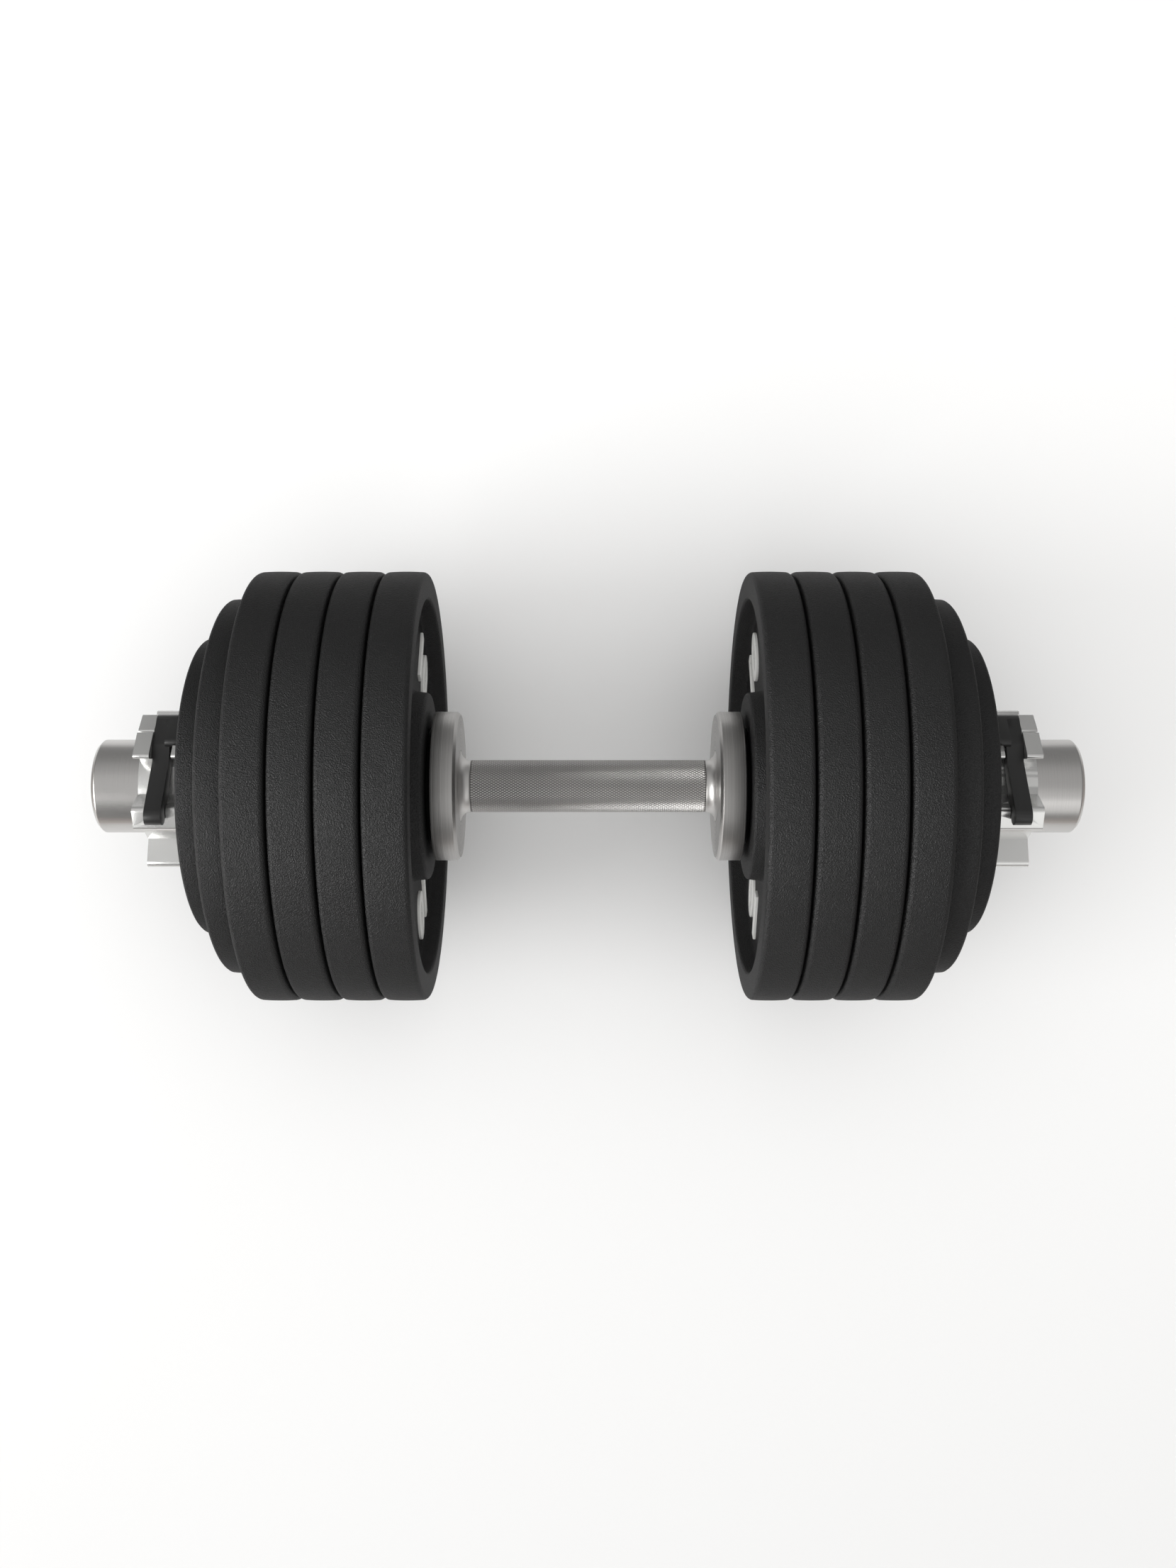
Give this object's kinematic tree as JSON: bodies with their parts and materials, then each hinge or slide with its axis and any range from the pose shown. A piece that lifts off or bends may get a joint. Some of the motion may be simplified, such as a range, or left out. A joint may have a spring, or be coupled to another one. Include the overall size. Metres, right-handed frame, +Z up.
{
  "type": "adjustable dumbbell",
  "caption": "Loadable dumbbell: knurled grip, turning flanged sleeves, cast iron plates and split clamp collars with cam levers.",
  "frame": {"origin": "middle of the grip, on the shaft's axis", "axes": "+X along the shaft towards the right-hand plates, +Z up, away from the floor that the large plates stand on"},
  "size_m": [0.5214, 0.229, 0.229],
  "materials": {
    "grip_steel": "satin knurled steel",
    "sleeve_steel": "brushed",
    "flange_steel": "turned",
    "iron": "black hammertone enamel, semi-gloss",
    "cast_alloy": "fine cast, satin",
    "lever_coat": "satin black",
    "liner": "matt black",
    "bronze": "sintered bronze",
    "small_steel": "satin"
  },
  "bodies": {
    "shaft": {"shaft": "grip_steel", "snap_ring_left": "small_steel", "snap_ring_right": "small_steel"},
    "head_left": {"sleeve_left": "sleeve_steel", "flange_left": "flange_steel", "inner_bush_left": "bronze", "outer_bush_left": "bronze", "thrust_washer_left": "bronze", "end_washer_left": "small_steel", "end_cap_left": "sleeve_steel"},
    "plate_1_left": {"plate_1_left": "iron"},
    "plate_2_left": {"plate_2_left": "iron"},
    "plate_3_left": {"plate_3_left": "iron"},
    "plate_4_left": {"plate_4_left": "iron"},
    "plate_5_left": {"plate_5_left": "iron"},
    "plate_6_left": {"plate_6_left": "iron"},
    "collar_left": {"collar_ring_left": "cast_alloy", "collar_liner_left": "liner", "lever_pin_left": "small_steel"},
    "lever_left": {"cam_lever_left": "lever_coat"},
    "head_right": {"sleeve_right": "sleeve_steel", "flange_right": "flange_steel", "inner_bush_right": "bronze", "outer_bush_right": "bronze", "thrust_washer_right": "bronze", "end_washer_right": "small_steel", "end_cap_right": "sleeve_steel"},
    "plate_1_right": {"plate_1_right": "iron"},
    "plate_2_right": {"plate_2_right": "iron"},
    "plate_3_right": {"plate_3_right": "iron"},
    "plate_4_right": {"plate_4_right": "iron"},
    "plate_5_right": {"plate_5_right": "iron"},
    "plate_6_right": {"plate_6_right": "iron"},
    "collar_right": {"collar_ring_right": "cast_alloy", "collar_liner_right": "liner", "lever_pin_right": "small_steel"},
    "lever_right": {"cam_lever_right": "lever_coat"}
  },
  "joints": [
    {"name": "sleeve_spin_left", "type": "hinge", "parent": "shaft", "child": "head_left", "pos_m": [-0.17, 0, 0], "axis": [1, 0, 0], "continuous": true},
    {"name": "plate_1_slide_left", "type": "slide", "parent": "head_left", "child": "plate_1_left", "axis": [-1, 0, 0], "range_m": [0, 0.177]},
    {"name": "plate_2_slide_left", "type": "slide", "parent": "plate_1_left", "child": "plate_2_left", "axis": [-1, 0, 0], "range_m": [0, 0.154]},
    {"name": "plate_3_slide_left", "type": "slide", "parent": "plate_2_left", "child": "plate_3_left", "axis": [-1, 0, 0], "range_m": [0, 0.132]},
    {"name": "plate_4_slide_left", "type": "slide", "parent": "plate_3_left", "child": "plate_4_left", "axis": [-1, 0, 0], "range_m": [0, 0.11]},
    {"name": "plate_5_slide_left", "type": "slide", "parent": "plate_4_left", "child": "plate_5_left", "axis": [-1, 0, 0], "range_m": [0, 0.088]},
    {"name": "plate_6_slide_left", "type": "slide", "parent": "plate_5_left", "child": "plate_6_left", "axis": [-1, 0, 0], "range_m": [0, 0.072]},
    {"name": "collar_slide_left", "type": "slide", "parent": "plate_6_left", "child": "collar_left", "axis": [-1, 0, 0], "range_m": [0, 0.058]},
    {"name": "lever_swing_left", "type": "hinge", "parent": "collar_left", "child": "lever_left", "pos_m": [-0.2187, 0.03187, 0.0207], "axis": [-1, 0, 0], "range_deg": [0, 130]},
    {"name": "sleeve_spin_right", "type": "hinge", "parent": "shaft", "child": "head_right", "pos_m": [0.17, 0, 0], "axis": [1, 0, 0], "continuous": true},
    {"name": "plate_1_slide_right", "type": "slide", "parent": "head_right", "child": "plate_1_right", "axis": [1, 0, 0], "range_m": [0, 0.177]},
    {"name": "plate_2_slide_right", "type": "slide", "parent": "plate_1_right", "child": "plate_2_right", "axis": [1, 0, 0], "range_m": [0, 0.154]},
    {"name": "plate_3_slide_right", "type": "slide", "parent": "plate_2_right", "child": "plate_3_right", "axis": [1, 0, 0], "range_m": [0, 0.132]},
    {"name": "plate_4_slide_right", "type": "slide", "parent": "plate_3_right", "child": "plate_4_right", "axis": [1, 0, 0], "range_m": [0, 0.11]},
    {"name": "plate_5_slide_right", "type": "slide", "parent": "plate_4_right", "child": "plate_5_right", "axis": [1, 0, 0], "range_m": [0, 0.088]},
    {"name": "plate_6_slide_right", "type": "slide", "parent": "plate_5_right", "child": "plate_6_right", "axis": [1, 0, 0], "range_m": [0, 0.072]},
    {"name": "collar_slide_right", "type": "slide", "parent": "plate_6_right", "child": "collar_right", "axis": [1, 0, 0], "range_m": [0, 0.058]},
    {"name": "lever_swing_right", "type": "hinge", "parent": "collar_right", "child": "lever_right", "pos_m": [0.2187, 0.03187, 0.0207], "axis": [-1, 0, 0], "range_deg": [0, 130]}
  ]
}
